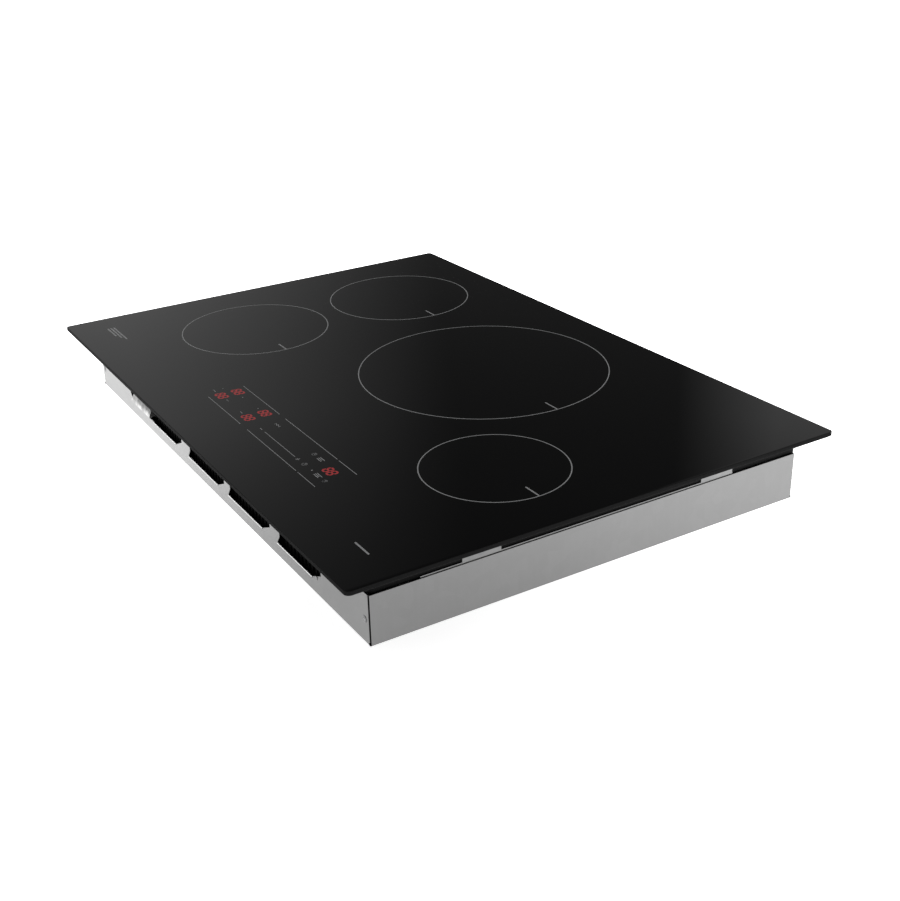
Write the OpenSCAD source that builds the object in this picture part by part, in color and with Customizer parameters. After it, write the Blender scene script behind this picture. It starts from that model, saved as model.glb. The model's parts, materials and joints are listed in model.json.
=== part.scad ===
// Built-in induction cooktop with four cooking zones.
// The frame is centred under the glass, z = 0 is the tray floor, the user stands at -Y.

/* [Glass] */
// Width of the glass along the worktop
glass_w = 762; // [740:1:790]
// Depth of the glass from front to back
glass_d = 540; // [530:1:560]
// Thickness of the glass
glass_t = 4; // [3:0.5:6]
// Radius of the glass corners
glass_corner_r = 5; // [2:0.5:10]
// Height from the tray floor to the top of the glass
overall_h = 77; // [76:0.5:84]

/* [Case] */
// Width of the steel case over the side panels
case_w = 711; // [705:1:715]
// Distance of the front wall's outer face from the glass centre
case_front = 237.5; // [236:0.5:240]
// Distance of the back wall's outer face from the glass centre
case_back = 247; // [246:0.5:250]
// Height of the back wall and side panels
case_h = 49.5; // [49:0.5:50]
// Sheet thickness of all steel parts
sheet_t = 1; // [0.8:0.1:1.2]
// Height of the lower edge of the front air notches
notch_sill_h = 14.5; // [10:0.5:16]
// Height of the tabs that meet the glass frame
tab_top_h = 69; // [66:0.5:70]
// Open seam between the case sheets at the upright corners
corner_gap = 1.7; // [1:0.1:2]

/* [Cooking zones] */
// Outer diameter of the left front and left back coils
coil_medium_d = 165; // [150:1:168]
// Outer diameter of the large centre coil
coil_large_d = 264; // [240:1:268]
// Outer diameter of the small right coil
coil_small_d = 132; // [120:1:136]
// Distance that a coil unit can sink on its springs
coil_travel = 3; // [1:0.5:4]

/* [Fans] */
// Outer diameter of the fan rotors
rotor_d = 92; // [80:1:96]
// Number of blades on a rotor
blade_count = 30; // [20:1:36]

/* [Hidden] */
$fn = 64;

// Glass and seal
glass_z = overall_h - glass_t;
seal_t = 1.2;
seal_w = 12;
seal_inset = 1.5;

// Glass frame
frame_side = 353.3;
frame_front = 236.3;
frame_back = 250.5;
frame_z = 49.7;
frame_wall = 2;
frame_flange_w = 16;
frame_flange_t = 1.6;
frame_corner_r = 6;

// Case walls
side_out = case_w / 2;
side_in = side_out - sheet_t;
front_in = case_front - sheet_t;
back_in = case_back - sheet_t;
wall_half = side_out - corner_gap;
floor_half = side_in - 0.2;
front_rise_half = 345;
notch_ramp = 18;
notch_ramp_h = 8.5;
// Front notches: sill start and end along x, then how far the left side leans and over what height
notches = [[-237, -95, -9, 12.5], [-58, 26, 6, 8.5], [53, 138, 6, 8.5], [172, 247, 6, 8.5]];
dimple = [256, 17];
dimple_r = 2.2;
dimple_h = 0.6;
corner_hole_r = 1.6;
panel_flange_w = 12;
back_tabs_x = [-150, 150];
back_tab_w = 40;
back_tab_top = 66;
vent_size = [3, 22];
vent_pitch = 8;
vent_z = 14;
vent_starts = [-100, 90];
vent_count = 18;
// Fan inlet slots in the floor: middle radius, slot length, number of slots
inlet_rings = [[14, 8, 12], [24, 9, 20], [35, 8, 30]];
inlet_slot_w = 3.4;
// Stiffening ribs pressed up into the floor, each by its low and high corner
ribs = [
    [[-330, -205], [-170, -199]],
    [[-80, -205], [80, -199]],
    [[170, -205], [330, -199]],
    [[-330, -184], [-170, -178]],
    [[-80, -184], [80, -178]],
    [[170, -184], [330, -178]],
    [[-100, 120], [-94, 220]],
    [[180, 130], [186, 220]]
];
rib_h = 2;
rib_wall = 1.5;

// Inner rails that carry the coil plate
rail_front = -186.5;
rail_back = 165;
rail_low_z = 30;
rail_top_z = 51.2;
rail_tabs = [[-144.5, -104], [125, 164.5]];
shelf_w = 16;
plate_t = 1.5;
plate_z = 45.5;
plate_top = plate_z + plate_t;
plate_half = 350;
plate_front = -224;
plate_back = 234;
// Slot for the ribbon cable, by its low and high corner
ribbon_slot = [[-6, -146], [22, -136]];

// Coil units in the order of their node names: x, y, outer radius, inner radius, number of ferrite bars
coils = [
    [-232, -74, coil_medium_d / 2, 26, 8],
    [-232, 132, coil_medium_d / 2, 26, 8],
    [44, 82, coil_large_d / 2, 34, 12],
    [259, -47, coil_small_d / 2, 24, 6]
];
lead_holes = [[-290, -30], [-290, 60], [0, 20], [216, -40]];
lead_hole_r = 9;
base_z = 57.5;
base_t = 1.5;
base_rim = 3;
ferrite_t = 5.5;
ferrite_w = 12;
carrier_z = base_z + base_t + ferrite_t;
carrier_t = 2;
carrier_rim = 1.5;
carrier_top = 72.1;
winding_z = carrier_z + carrier_t;
winding_h = 5;
winding_groove = 0.7;
turn_pitch = 3.4;
mica_z = 72.3;
mica_t = 0.6;
sensor_r = 9;
sensor_cap_r = 5;
spring_t = 0.8;
spring_w = 12;
spring_gap = 0.1;
spring_len = 44;

// Touch controls
touch_x = [-90, 220];
touch_y = [-221, -149];
touch_wall = 2;
touch_low_z = 60;
touch_top_z = 71.2;
board_t = 1.6;
touch_board_z = 68;
display_at = [[-53.5, -194], [-53.5, -174.5], [17.5, -194], [17.5, -174.5], [180.5, -181]];
display_size = [24, 15, 3.2];
touch_keys = [[-72, -195], [-72, -185], [-37, -194], [0, -194.5], [53, -194.5], [70, -194.5], [87, -194.5],
    [104, -194.5], [121, -194.5], [138, -194.5], [152, -194], [152, -177], [196, -194.5]];
pad_r = 4;
ribbon_x = [1, 15];
ribbon_t = 1;
// Ribbon path along y and z, from the touch board down to its plug
ribbon_path = [[-158, 66], [-146, 66], [-142.5, 64.5], [-141, 61], [-141, 20]];

// Boards and cooling
unit_x = [-190, 100];
board_half_w = 140;
board_y = [-150, 92];
board_z = 9;
board_top = board_z + board_t;
carrier_floor_t = 2;
carrier_lip = 4.4;
filter_x = [258, 338];
filter_y = [-150, 120];
// Blocks on the filter board from its middle line: low x, low y, high x, high y, height
filter_blocks = [
    [-18, 108, 18, 118, 9],
    [-20, 20, 20, 52, 24],
    [-26, -40, -6, 0, 22],
    [6, -40, 26, 0, 22],
    [-14, -80, 14, -62, 16]
];
fuse_y = [-96, -112];
fuse_r = 4.3;
fuse_len = 32;
filter_choke = [80, 19, 8, 16];
transistor_y = [-60, 20];
film_y = [-130, -70, -10];
can_y = [60, 80];
choke_y = [-110, -70];
sink_half_w = 50;
sink_y = [-120, 80];
sink_base_t = 4;
sink_top = 38;
fin_t = 1.5;
fin_count = 12;
duct_half_w = 64;
duct_wall = 1.5;
duct_top = 43;
duct_y = [-122, 104.5];
fan_y = 165;
fan_r = 60;
fan_wall = 2;
fan_low_z = sheet_t;
fan_top_z = 40;
fan_mouth = 105;
inlet_r = 38;
motor_r = 12;
motor_low_z = 26;
shaft_r = 2;
shaft_low_z = 9;
bearing_gap = 0.05;
rotor_low_z = 7;
rotor_top_z = 25;
rotor_ring_w = 12;
rotor_disc_t = 2;
hub_r = 7;
blade_t = 1;
blade_skew = 35;

// Power inlet
inlet_x = 300;
inlet_z = 24;
gland_bore_r = 5.5;
gland_shank_r = 9.8;
gland_out_y = 262;
gland_in_y = 234;

// Spring clips
clip_x = [-234.5, -172];
clip_clear = 2;
clip_foot_z = [2, 9];
clip_t = 0.9;
clip_pivot_z = 9.4;
clip_window_z = [14.5, 48];
// End flange of the leaf: how far it reaches behind and in front of the wall's inner side, then its heights
clip_flange = [-5, 2.6, 19, 30];
// Leaf path from its foot: distance in front of the wall's inner side, height
clip_path = [
    [-0.6, clip_pivot_z],
    [-0.6, 14.2],
    [0.2, 16],
    [2.6, 17.4],
    [4, 19],
    [4.1, 20.8],
    [3, 23.5],
    [-1.2, 30],
    [-4.6, 36],
    [-5.6, 44]
];

// Screws
screw_r = 1.9;
screw_hole_r = 1.95;
head_r = 3.5;
head_h = 2;
screw_len = 5;
flat_head_h = 0.6;
corner_screw = [346.7, 23];
frame_screw_z = 62;
front_screws_x = [-300, -77, 155, 300];
side_screws_y = [-124, 145];
plate_screws_y = [-150, -10, 130];
plate_screw_x = 345.5;

// Slotted baffle behind the front notches
baffle_x = [-168, 262];
baffle_y = -232;
baffle_t = 1.5;
baffle_foot = 10;
baffle_top = 44;
baffle_slot = [3.5, 26];
baffle_slot_z = 11;
baffle_pitch = 8;

// Box between two corners
module block(low, high) {
    translate(low)
        cube(high - low);
}

// Flat plate with round corners, given by its low and high corner
module round_plate(low, high, r, t) {
    translate([0, 0, low[2]])
        linear_extrude(t)
            round_outline(low, high, r);
}

module round_outline(low, high, r) {
    translate([low[0] + r, low[1]])
        square([high[0] - low[0] - 2 * r, high[1] - low[1]]);
    translate([low[0], low[1] + r])
        square([high[0] - low[0], high[1] - low[1] - 2 * r]);
    for (x = [low[0] + r, high[0] - r])
        for (y = [low[1] + r, high[1] - r])
            translate([x, y])
                circle(r);
}

// Ring between two round outlines
module round_ring(low, high, r, w, t) {
    translate([0, 0, low[2]])
        linear_extrude(t)
            difference() {
                round_outline(low, high, r);
                round_outline(low + [w, w, 0], high - [w, w, 0], max(r - w, 1));
            }
}

module tube(r_out, r_in, h) {
    difference() {
        cylinder(r = r_out, h = h);
        translate([0, 0, -1])
            cylinder(r = r_in, h = h + 2);
    }
}

// Screw whose head stands on z = 0 and whose shank goes down
module screw(height = head_h) {
    cylinder(r = head_r, h = height);
    translate([0, 0, -screw_len])
        cylinder(r = screw_r, h = screw_len + 0.5);
}

module screw_hole() {
    translate([0, 0, -2 * screw_len])
        cylinder(r = screw_hole_r, h = 4 * screw_len);
}

// ---- Glass, seal and frame

module glass_top() {
    color([0.05, 0.05, 0.055])
        round_plate([-glass_w / 2, -glass_d / 2, glass_z], [glass_w / 2, glass_d / 2, glass_z], glass_corner_r,
            glass_t);
}

module worktop_seal() {
    edge = [glass_w / 2 - seal_inset, glass_d / 2 - seal_inset, 0];
    z = [0, 0, glass_z - seal_t];
    color([0.1, 0.1, 0.1])
        round_ring(z - edge, z + edge, glass_corner_r, seal_w, seal_t);
}

module glass_frame() {
    wall_low = [-frame_side, -frame_front, frame_z];
    wall_high = [frame_side, frame_back, frame_z];
    flange_lift = [0, 0, glass_z - frame_flange_t - frame_z];
    color([0.03, 0.03, 0.03])
        difference() {
            union() {
                round_ring(wall_low, wall_high, frame_corner_r, frame_wall, glass_z - frame_z);
                round_ring(wall_low + flange_lift, wall_high + flange_lift, frame_corner_r, frame_flange_w,
                    frame_flange_t);
            }
            frame_screw_places()
                screw_hole();
        }
}

// Places and directions of the screws that hold the tabs to the glass frame
module frame_screw_places() {
    for (x = front_screws_x)
        translate([x, -case_front, frame_screw_z])
            rotate([90, 0, 0])
                children();
    for (side = [-1, 1])
        for (y = side_screws_y)
            translate([side * side_in, y, frame_screw_z])
                rotate([0, side * 90, 0])
                    children();
}

// Places and directions of the four upright corner screws
module corner_screw_places() {
    for (side = [-1, 1]) {
        translate([side * corner_screw[0], -case_front, corner_screw[1]])
            rotate([90, 0, 0])
                children();
        translate([side * corner_screw[0], case_back, corner_screw[1]])
            rotate([-90, 0, 0])
                children();
    }
}

// ---- Steel case

// Outline of the front wall in x and height, with its air notches
module front_outline() {
    difference() {
        union() {
            translate([-wall_half, 0])
                square([2 * wall_half, case_h]);
            translate([-front_rise_half, 0])
                square([2 * front_rise_half, tab_top_h]);
        }
        for (n = notches)
            polygon([
                [n[0], notch_sill_h],
                [n[1], notch_sill_h],
                [n[1] + notch_ramp, notch_sill_h + notch_ramp_h],
                [n[1] + notch_ramp, overall_h],
                [n[0] + n[2], overall_h],
                [n[0] + n[2], notch_sill_h + n[3]]
            ]);
    }
}

module back_outline() {
    difference() {
        union() {
            translate([-wall_half, 0])
                square([2 * wall_half, case_h]);
            for (x = back_tabs_x)
                translate([x - back_tab_w / 2, 0])
                    square([back_tab_w, back_tab_top]);
        }
        translate([clip_x[0] - clip_clear, clip_window_z[0]])
            square([clip_x[1] - clip_x[0] + 2 * clip_clear, clip_window_z[1] - clip_window_z[0]]);
        translate([inlet_x, inlet_z])
            circle(gland_shank_r + 0.2);
        for (start = vent_starts)
            for (i = [0:vent_count - 1])
                translate([start + i * vent_pitch, vent_z])
                    square(vent_size);
    }
}

// Slots of one round fan inlet in the floor
module inlet_slots() {
    for (ring = inlet_rings)
        for (i = [0:ring[2] - 1])
            rotate(i * 360 / ring[2])
                translate([ring[0] - ring[1] / 2, -inlet_slot_w / 2, -1])
                    cube([ring[1], inlet_slot_w, 2 * sheet_t + 2]);
}

// The crest of a pressed rib, above the floor
module floor_rib(low, high) {
    block([low[0], low[1], 0], [high[0], high[1], rib_h]);
}

// The hollow of a pressed rib, seen from below
module floor_groove(low, high) {
    inset = [rib_wall, rib_wall];
    block(concat(low + inset, -1), concat(high - inset, rib_h - sheet_t));
}

module tray() {
    color([0.78, 0.78, 0.77])
        difference() {
            union() {
                block([-floor_half, -case_front, 0], [floor_half, case_back, sheet_t]);
                translate([0, -front_in, 0])
                    rotate([90, 0, 0])
                        linear_extrude(sheet_t)
                            front_outline();
                translate([0, case_back, 0])
                    rotate([90, 0, 0])
                        linear_extrude(sheet_t)
                            back_outline();
                translate([dimple[0], -case_front - dimple_h, dimple[1]])
                    rotate([-90, 0, 0])
                        cylinder(r = dimple_r, h = sheet_t);
                for (r = ribs)
                    floor_rib(r[0], r[1]);
            }
            for (r = ribs)
                floor_groove(r[0], r[1]);
            for (x = unit_x)
                translate([x, fan_y, 0])
                    inlet_slots();
            corner_screw_places()
                screw_hole();
            frame_screw_places()
                screw_hole();
            // Foot of the upright corners, cut back so that the sheets meet with a small open hole
            for (side = [-1, 1])
                for (y = [-case_front, case_back])
                    translate([side * floor_half, y, -1])
                        cylinder(r = corner_hole_r, h = sheet_t + 2);
        }
}

module side_panel(side) {
    flange_x = side_in - panel_flange_w;
    color([0.72, 0.72, 0.71])
        difference() {
            union() {
                scale_x(side) {
                    block([side_in, -front_in, 0], [side_out, back_in, case_h]);
                    block([flange_x, -front_in + 8, sheet_t], [side_in + 0.5, back_in - 8, 2 * sheet_t]);
                    block([flange_x, -front_in, 4], [side_in + 0.5, -front_in + sheet_t, case_h - 2]);
                    block([flange_x, back_in - sheet_t, 4], [side_in + 0.5, back_in, case_h - 2]);
                }
            }
            corner_screw_places()
                screw_hole();
        }
}

// Mirrors its child to the left side when side is -1
module scale_x(side) {
    mirror([side < 0 ? 1 : 0, 0, 0])
        children();
}

module plate_rail(side) {
    color([0.8, 0.8, 0.79])
        difference() {
            scale_x(side)
                union() {
                    block([side_in - sheet_t, rail_front, rail_low_z], [side_in, rail_back, rail_top_z]);
                    for (t = rail_tabs)
                        block([side_in - sheet_t, t[0], rail_top_z - 1], [side_in, t[1], tab_top_h]);
                    block([side_in - shelf_w, rail_front, plate_z - sheet_t], [side_in, rail_back, plate_z]);
                }
            frame_screw_places()
                screw_hole();
            plate_screw_places()
                screw_hole();
        }
}

module plate_screw_places() {
    for (side = [-1, 1])
        for (y = plate_screws_y)
            translate([side * plate_screw_x, y, plate_top])
                children();
}

module front_air_baffle() {
    x = baffle_x;
    y = baffle_y;
    count = floor((x[1] - x[0]) / baffle_pitch) - 1;
    color([0.04, 0.04, 0.04])
        difference() {
            union() {
                block([x[0], y, sheet_t], [x[1], y + baffle_t, baffle_top]);
                block([x[0], y, sheet_t], [x[1], y + baffle_foot, sheet_t + baffle_t]);
            }
            for (i = [0:count - 1])
                translate([x[0] + (i + 0.75) * baffle_pitch, y - 1, baffle_slot_z])
                    cube([baffle_slot[0], baffle_t + 2, baffle_slot[1]]);
        }
}

module case_screws() {
    color([0.6, 0.6, 0.62]) {
        corner_screw_places()
            screw(flat_head_h);
        frame_screw_places()
            screw();
    }
}

module plate_screws() {
    color([0.6, 0.6, 0.62])
        plate_screw_places()
            screw();
}

module coil_plate() {
    color([0.82, 0.83, 0.84])
        difference() {
            block([-plate_half, plate_front, plate_z], [plate_half, plate_back, plate_top]);
            for (h = lead_holes)
                translate([h[0], h[1], plate_z - 1])
                    cylinder(r = lead_hole_r, h = plate_t + 2);
            block(concat(ribbon_slot[0], plate_z - 1), concat(ribbon_slot[1], plate_top + 1));
            plate_screw_places()
                screw_hole();
        }
}

// ---- Spring clips, drawn at the front wall; the rear ones are mirrored to the back wall

module at_wall(rear) {
    if (rear)
        translate([0, back_in, 0])
            children();
    else
        translate([0, -front_in, 0])
            mirror([0, 1, 0])
                children();
}

module clip_foot() {
    block([clip_x[0], -sheet_t, clip_foot_z[0]], [clip_x[1], 0, clip_foot_z[1]]);
}

// Strip of even thickness along a path of points
module strip(path, t) {
    n = len(path);
    function unit(v) = v / norm(v);
    function side_of(i) =
        let (a = path[max(i - 1, 0)], b = path[min(i + 1, n - 1)], d = unit(b - a)) [-d[1], d[0]] * t / 2;
    polygon(concat(
        [for (i = [0:n - 1]) path[i] + side_of(i)],
        [for (i = [n - 1:-1:0]) path[i] - side_of(i)]
    ));
}

module clip_leaf(rear) {
    color([0.85, 0.85, 0.83])
        at_wall(rear) {
            translate([clip_x[0], 0, 0])
                rotate([90, 0, 90])
                    linear_extrude(clip_x[1] - clip_x[0])
                        strip(clip_path, clip_t);
            block([clip_x[1] - clip_t, clip_flange[0], clip_flange[2]],
                [clip_x[1], clip_flange[1], clip_flange[3]]);
        }
}

module clip_feet() {
    color([0.75, 0.75, 0.74]) {
        at_wall(false)
            clip_foot();
        at_wall(true)
            clip_foot();
    }
}

// ---- Coil units

module at_coil(i, z) {
    translate([coils[i][0], coils[i][1], z])
        children();
}

module coil_base(i) {
    r = coils[i][2] + base_rim;
    color([0.8, 0.81, 0.83])
        at_coil(i, base_z)
            tube(r, 4, base_t);
}

module coil_ferrites(i) {
    r_in = coils[i][3] + 3;
    length = coils[i][2] - r_in - 3;
    n = coils[i][4];
    color([0.16, 0.16, 0.17])
        at_coil(i, base_z + base_t)
            for (k = [0:n - 1])
                rotate(k * 360 / n)
                    translate([r_in, -ferrite_w / 2, 0])
                        cube([length, ferrite_w, ferrite_t]);
}

module coil_carrier(i) {
    r_out = coils[i][2] + base_rim;
    r_in = coils[i][3];
    n = coils[i][4];
    leg_r = 3;
    rim_h = carrier_top - carrier_z;
    color([0.9, 0.88, 0.82])
        at_coil(i, carrier_z)
            union() {
                tube(r_out, r_in - 6, carrier_t);
                tube(r_out, r_out - carrier_rim, rim_h);
                tube(r_in - 2, r_in - 6, rim_h);
                for (k = [0:2:n - 1])
                    rotate((k + 0.5) * 360 / n)
                        translate([coils[i][2] - 10, 0, -ferrite_t])
                            cylinder(r = leg_r, h = ferrite_t + 0.5);
            }
}

// Flat spiral winding, with a groove between turns on its upper face
module coil_winding(i) {
    r_in = coils[i][3];
    r_out = coils[i][2];
    turns = floor((r_out - r_in) / turn_pitch);
    pitch = (r_out - r_in) / turns;
    upper = [
        for (k = [0:turns - 1])
            for (p = [[0, winding_groove], [0.3, 0], [0.7, 0]])
                [r_out - (k + p[0]) * pitch, winding_h - p[1]]
    ];
    color([0.72, 0.42, 0.22])
        at_coil(i, winding_z)
            rotate_extrude($fn = 96)
                polygon(concat([[r_in, 0], [r_out, 0]], upper, [[r_in, winding_h - winding_groove]]));
}

module coil_sensor(i) {
    holder_h = 8;
    color([0.95, 0.95, 0.93])
        at_coil(i, base_z + base_t) {
            cylinder(r = sensor_r, h = holder_h);
            cylinder(r = sensor_cap_r, h = carrier_top - base_z - base_t);
        }
}

// Three arched leaf springs under one coil unit
module coil_springs(i) {
    rise = base_z - plate_top - spring_gap - spring_t;
    steps = 12;
    arch = [for (k = [0:steps]) [spring_len * (k / steps - 0.5), rise * (1 - cos(360 * k / steps)) / 2]];
    outline = concat(
        [for (p = arch) p + [0, spring_t]],
        [for (k = [steps:-1:0]) arch[k]]
    );
    color([0.7, 0.7, 0.68])
        at_coil(i, plate_top)
            for (k = [0:2])
                rotate(90 + k * 120)
                    translate([coils[i][2] - spring_w - 4, 0, 0])
                        rotate([90, 0, 90])
                            linear_extrude(spring_w)
                                polygon(outline);
}

module mica_sheets() {
    color([0.85, 0.78, 0.6])
        for (i = [0:3])
            at_coil(i, mica_z)
                cylinder(r = coils[i][2] + base_rim + 1, h = mica_t);
}

// ---- Touch controls

module touch_holder() {
    ledge = 3;
    leg_r = 4;
    low = [touch_x[0], touch_y[0], touch_low_z];
    high = [touch_x[1], touch_y[1], touch_top_z];
    inset = [touch_wall, touch_wall, 0];
    step = [touch_wall + ledge, touch_wall + ledge, 0];
    color([0.08, 0.08, 0.09])
        difference() {
            union() {
                block(low, high);
                for (x = [touch_x[0] + 12, (touch_x[0] + touch_x[1]) / 2, touch_x[1] - 12])
                    for (y = [touch_y[0] + 8, touch_y[1] - 8])
                        translate([x, y, plate_top])
                            cylinder(r = leg_r, h = touch_low_z - plate_top + 1);
            }
            block([low[0], low[1], touch_board_z] + inset, [high[0], high[1], touch_top_z + 1] - inset);
            block([low[0], low[1], touch_low_z + touch_wall] + step,
                [high[0], high[1], touch_board_z + 1] - step);
            // Slot for the ribbon cable in the back wall
            block([-1, touch_y[1] - 10, 64], [17, touch_y[1] + 1, touch_board_z]);
        }
}

module touch_board() {
    fit = touch_wall + 0.3;
    color([0.1, 0.3, 0.16])
        block([touch_x[0] + fit, touch_y[0] + fit, touch_board_z],
            [touch_x[1] - fit, touch_y[1] - fit, touch_board_z + board_t]);
}

module display_modules() {
    color([0.12, 0.02, 0.02])
        for (p = display_at)
            translate([p[0] - display_size[0] / 2, p[1] - display_size[1] / 2, touch_board_z + board_t])
                cube(display_size);
}

module touch_pads() {
    color([0.2, 0.2, 0.2])
        for (p = touch_keys)
            translate([p[0], p[1], touch_board_z + board_t])
                cylinder(r = pad_r, h = glass_z - touch_board_z - board_t);
}

// ---- Generator boards, one under each half of the case

module at_units() {
    for (x = unit_x)
        translate([x, 0, 0])
            children();
}

module power_boards() {
    color([0.1, 0.34, 0.18])
        at_units()
            block([-board_half_w, board_y[0], board_z], [board_half_w, board_y[1], board_top]);
}

module carrier(x0, x1, y0, y1) {
    post_r = 4;
    block([x0 - carrier_lip, y0 - carrier_lip, sheet_t],
        [x1 + carrier_lip, y1 + carrier_lip, sheet_t + carrier_floor_t]);
    for (x = [x0 + 8, x1 - 8])
        for (y = [y0 + 8, (y0 + y1) / 2, y1 - 8])
            translate([x, y, sheet_t])
                cylinder(r = post_r, h = board_z - sheet_t);
}

module board_carriers() {
    color([0.9, 0.9, 0.88]) {
        at_units()
            carrier(-board_half_w, board_half_w, board_y[0], board_y[1]);
        carrier(filter_x[0] + 4, filter_x[1] - 4, filter_y[0], filter_y[1]);
    }
}

module heat_sinks() {
    pitch = (2 * sink_half_w - fin_t) / (fin_count - 1);
    color([0.75, 0.76, 0.78])
        at_units() {
            block([-sink_half_w, sink_y[0], board_top], [sink_half_w, sink_y[1], board_top + sink_base_t]);
            for (k = [0:fin_count - 1])
                translate([-sink_half_w + k * pitch, sink_y[0], board_top])
                    cube([fin_t, sink_y[1] - sink_y[0], sink_top - board_top]);
        }
}

// Four flat transistors against the outer fins of each heat sink, on three legs each
module power_transistors() {
    body = [5, 16, 20];
    leg = [1, 1.2, 5];
    color([0.08, 0.08, 0.08])
        at_units()
            for (side = [0, 1])
                mirror([side, 0, 0])
                    for (y = transistor_y)
                        translate([sink_half_w, y, board_top]) {
                            translate([0, 0, leg[2]])
                                cube(body);
                            for (k = [0:2])
                                translate([2, 2 + 5.4 * k, 0])
                                    cube(leg + [0, 0, 0.5]);
                        }
}

module capacitors() {
    film = [20, 42, 30];
    film_x = 84;
    can_x = 96;
    can_r = 8;
    can_h = 25;
    color([0.15, 0.3, 0.6])
        at_units() {
            for (y = film_y)
                translate([film_x, y, board_top])
                    cube(film);
            for (y = can_y)
                translate([can_x, y, board_top])
                    cylinder(r = can_r, h = can_h);
        }
}

module choke_coils() {
    core_r = 12;
    wire_r = 7;
    choke_x = -108;
    color([0.7, 0.45, 0.2])
        at_units()
            for (y = choke_y)
                translate([choke_x, y, board_top + wire_r])
                    rotate_extrude()
                        translate([core_r, 0])
                            circle(wire_r, $fn = 24);
}

module air_ducts() {
    color([0.12, 0.12, 0.13])
        at_units()
            difference() {
                block([-duct_half_w - duct_wall, duct_y[0], board_top],
                    [duct_half_w + duct_wall, duct_y[1], duct_top]);
                block([-duct_half_w, duct_y[0] - 1, board_top - 1],
                    [duct_half_w, duct_y[1] + 1, duct_top - duct_wall]);
                block([-duct_half_w - 5, board_y[1] + 0.4, board_top - 1],
                    [duct_half_w + 5, duct_y[1] + 1, board_top + 1]);
            }
}

// Scroll outline of a fan housing: a circle with a straight mouth towards the front
module scroll(r, mouth_half, reach) {
    circle(r);
    translate([-mouth_half, -reach])
        square([2 * mouth_half, reach]);
}

module fan_housing(x) {
    reach = fan_y - fan_mouth;
    mouth_half = 46;
    color([0.1, 0.1, 0.11])
        translate([x, fan_y, 0])
            union() {
                difference() {
                    translate([0, 0, fan_low_z])
                        linear_extrude(fan_top_z - fan_low_z)
                            scroll(fan_r, mouth_half, reach);
                    translate([0, 0, fan_low_z + fan_wall])
                        linear_extrude(fan_top_z - fan_low_z - 2 * fan_wall)
                            scroll(fan_r - fan_wall, mouth_half - fan_wall, reach + 1);
                    translate([0, 0, -1])
                        cylinder(r = inlet_r, h = 10);
                }
                translate([0, 0, motor_low_z])
                    cylinder(r = motor_r, h = fan_top_z - motor_low_z);
                translate([0, 0, shaft_low_z])
                    cylinder(r = shaft_r, h = fan_top_z - shaft_low_z);
            }
}

module fan_rotor(x) {
    r_out = rotor_d / 2;
    r_in = r_out - rotor_ring_w;
    color([0.2, 0.2, 0.21])
        translate([x, fan_y, 0])
            difference() {
                union() {
                    translate([0, 0, rotor_low_z])
                        tube(r_out, r_in, 1.5);
                    translate([0, 0, rotor_top_z - rotor_disc_t])
                        cylinder(r = r_out, h = rotor_disc_t);
                    translate([0, 0, shaft_low_z + 1])
                        cylinder(r = hub_r, h = rotor_top_z - shaft_low_z - 1);
                    for (k = [0:blade_count - 1])
                        rotate(k * 360 / blade_count)
                            translate([r_in + 1, 0, rotor_low_z])
                                rotate(blade_skew)
                                    translate([0, -blade_t / 2, 0])
                                        cube([rotor_ring_w - 2.5, blade_t, rotor_top_z - rotor_low_z - 0.5]);
                }
                cylinder(r = shaft_r + bearing_gap, h = fan_top_z);
            }
}

// ---- Mains input

// Filter board with its choke, capacitors, fuse and relay
module filter_board() {
    mid = (filter_x[0] + filter_x[1]) / 2;
    color([0.12, 0.36, 0.2]) {
        block([filter_x[0] + 4, filter_y[0], board_z], [filter_x[1] - 4, filter_y[1], board_top]);
        for (b = filter_blocks)
            block([mid + b[0], b[1], board_top - 0.5], [mid + b[2], b[3], board_top + b[4]]);
        for (y = fuse_y)
            translate([mid - fuse_len / 2, y, board_top + fuse_r - 0.3])
                rotate([0, 90, 0])
                    cylinder(r = fuse_r, h = fuse_len);
        translate([mid, filter_choke[0], board_top - 0.5])
            tube(filter_choke[1], filter_choke[2], filter_choke[3]);
    }
}

module terminal_block() {
    pole_pitch = 11;
    poles = 4;
    half = poles * pole_pitch / 2;
    y = [190, 218];
    top = 22;
    well_r = 3.2;
    wire_r = 2.4;
    wire_z = 8;
    color([0.88, 0.88, 0.85])
        difference() {
            block([inlet_x - half, y[0], sheet_t], [inlet_x + half, y[1], top]);
            for (k = [0:poles - 1])
                translate([inlet_x - half + (k + 0.5) * pole_pitch, (y[0] + y[1]) / 2, 0]) {
                    translate([0, 0, top / 2 + 1])
                        cylinder(r = well_r, h = top);
                    translate([0, 8, wire_z])
                        rotate([-90, 0, 0])
                            cylinder(r = wire_r, h = 10);
                }
        }
}

module cable_gland() {
    hex_r = 13;
    color([0.07, 0.07, 0.07])
        translate([inlet_x, 0, inlet_z])
            rotate([-90, 0, 0])
                difference() {
                    union() {
                        translate([0, 0, gland_in_y])
                            cylinder(r = gland_shank_r, h = gland_out_y - gland_in_y);
                        translate([0, 0, case_back])
                            cylinder(r = hex_r + 1, h = 3);
                        translate([0, 0, case_back + 3])
                            cylinder(r = hex_r, h = 8, $fn = 6);
                        translate([0, 0, back_in - 6])
                            cylinder(r = hex_r + 1, h = 6, $fn = 6);
                    }
                    translate([0, 0, gland_in_y - 1])
                        cylinder(r = gland_bore_r, h = gland_out_y - gland_in_y + 2);
                }
}

// ---- Wiring that the case holds

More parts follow.
